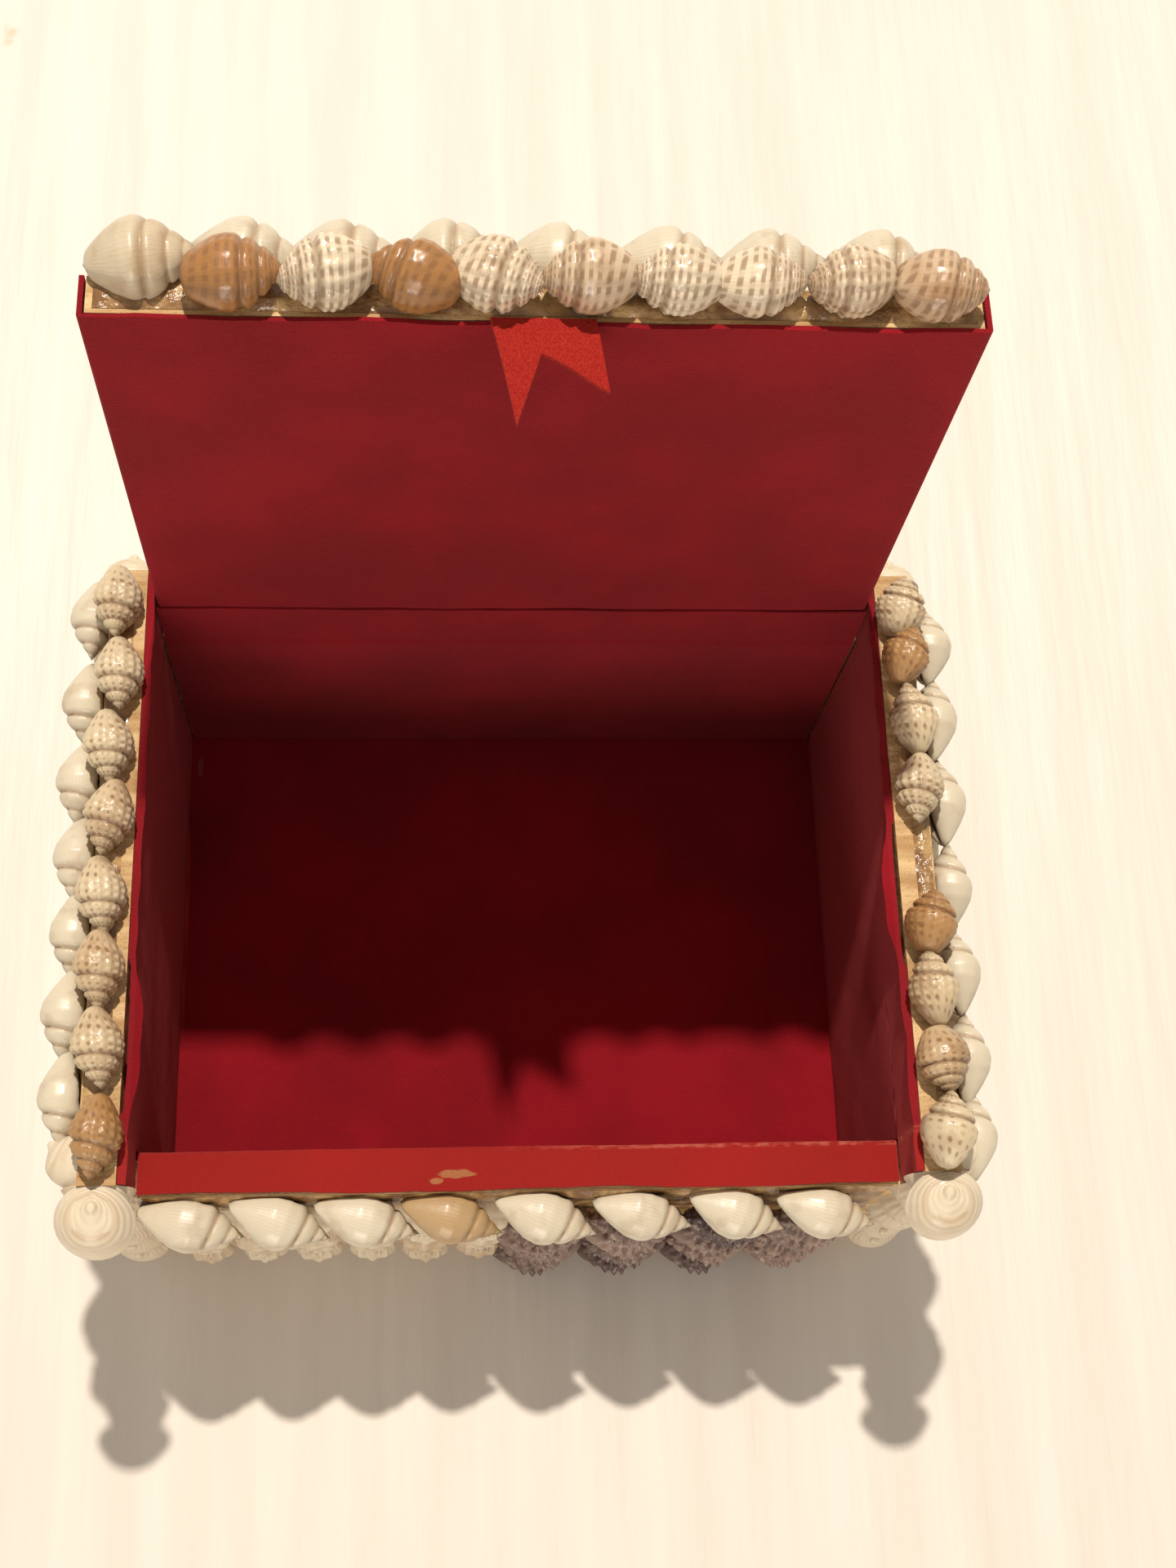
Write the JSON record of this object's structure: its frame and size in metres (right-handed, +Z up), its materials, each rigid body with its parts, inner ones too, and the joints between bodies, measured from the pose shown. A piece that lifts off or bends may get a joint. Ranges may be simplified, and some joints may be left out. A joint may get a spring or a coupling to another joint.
{
  "type": "shell box",
  "caption": "Open keepsake box covered in glued sea shells, lined in red flocked paper, with a cloth-hinged lid and a swallow-tailed pull tab.",
  "frame": {"origin": "middle of the base board's underside, on the surface that the box stands on", "axes": "+X to the box's right, +Y from the front to the hinged back, +Z up; the lid stands open at rest"},
  "size_m": [0.1724, 0.1414, 0.1782],
  "materials": {
    "board": "matte",
    "lining": "matte",
    "ribbon": "matte",
    "white_shell": "satin",
    "spotted_shell": "satin"
  },
  "bodies": {
    "box": {"back_left_end_shells": "white_shell", "back_lining": "lining", "back_right_end_shells": "white_shell", "back_shells_1": "white_shell", "back_shells_2": "white_shell", "back_shells_3": "white_shell", "back_wall": "board", "base_board": "board", "floor_lining": "lining", "front_left_end_shells": "white_shell", "front_lining": "lining", "front_right_end_shells": "white_shell", "front_shells_1": "white_shell", "front_shells_2": "white_shell", "front_shells_3": "white_shell", "front_shells_4": "white_shell", "front_top_shells": "white_shell", "front_wall": "board", "left_lining": "lining", "left_shells_1": "white_shell", "left_shells_2": "white_shell", "left_shells_3": "white_shell", "left_shells_4": "white_shell", "left_top_shells": "spotted_shell", "left_wall": "board", "right_lining": "lining", "right_shells_1": "white_shell", "right_shells_2": "white_shell", "right_shells_3": "white_shell", "right_shells_4": "white_shell", "right_top_shells_back": "spotted_shell", "right_top_shells_front": "spotted_shell", "right_wall": "board"},
    "lid": {"lid_board": "board", "lid_corner_shell": "white_shell", "lid_edge_shells": "spotted_shell", "lid_lining": "lining", "lid_shells_1": "white_shell", "lid_shells_2": "white_shell", "lid_shells_3": "white_shell", "lid_shells_4": "white_shell", "lid_shells_5": "white_shell", "lid_shells_6": "white_shell", "pull_tab": "ribbon"}
  },
  "joints": [
    {"name": "lid_hinge", "type": "hinge", "parent": "box", "child": "lid", "pos_m": [0, 0.051, 0.0618], "axis": [1, 0, 0], "range_deg": [0, 91], "deforming": ["pull_tab"]}
  ]
}
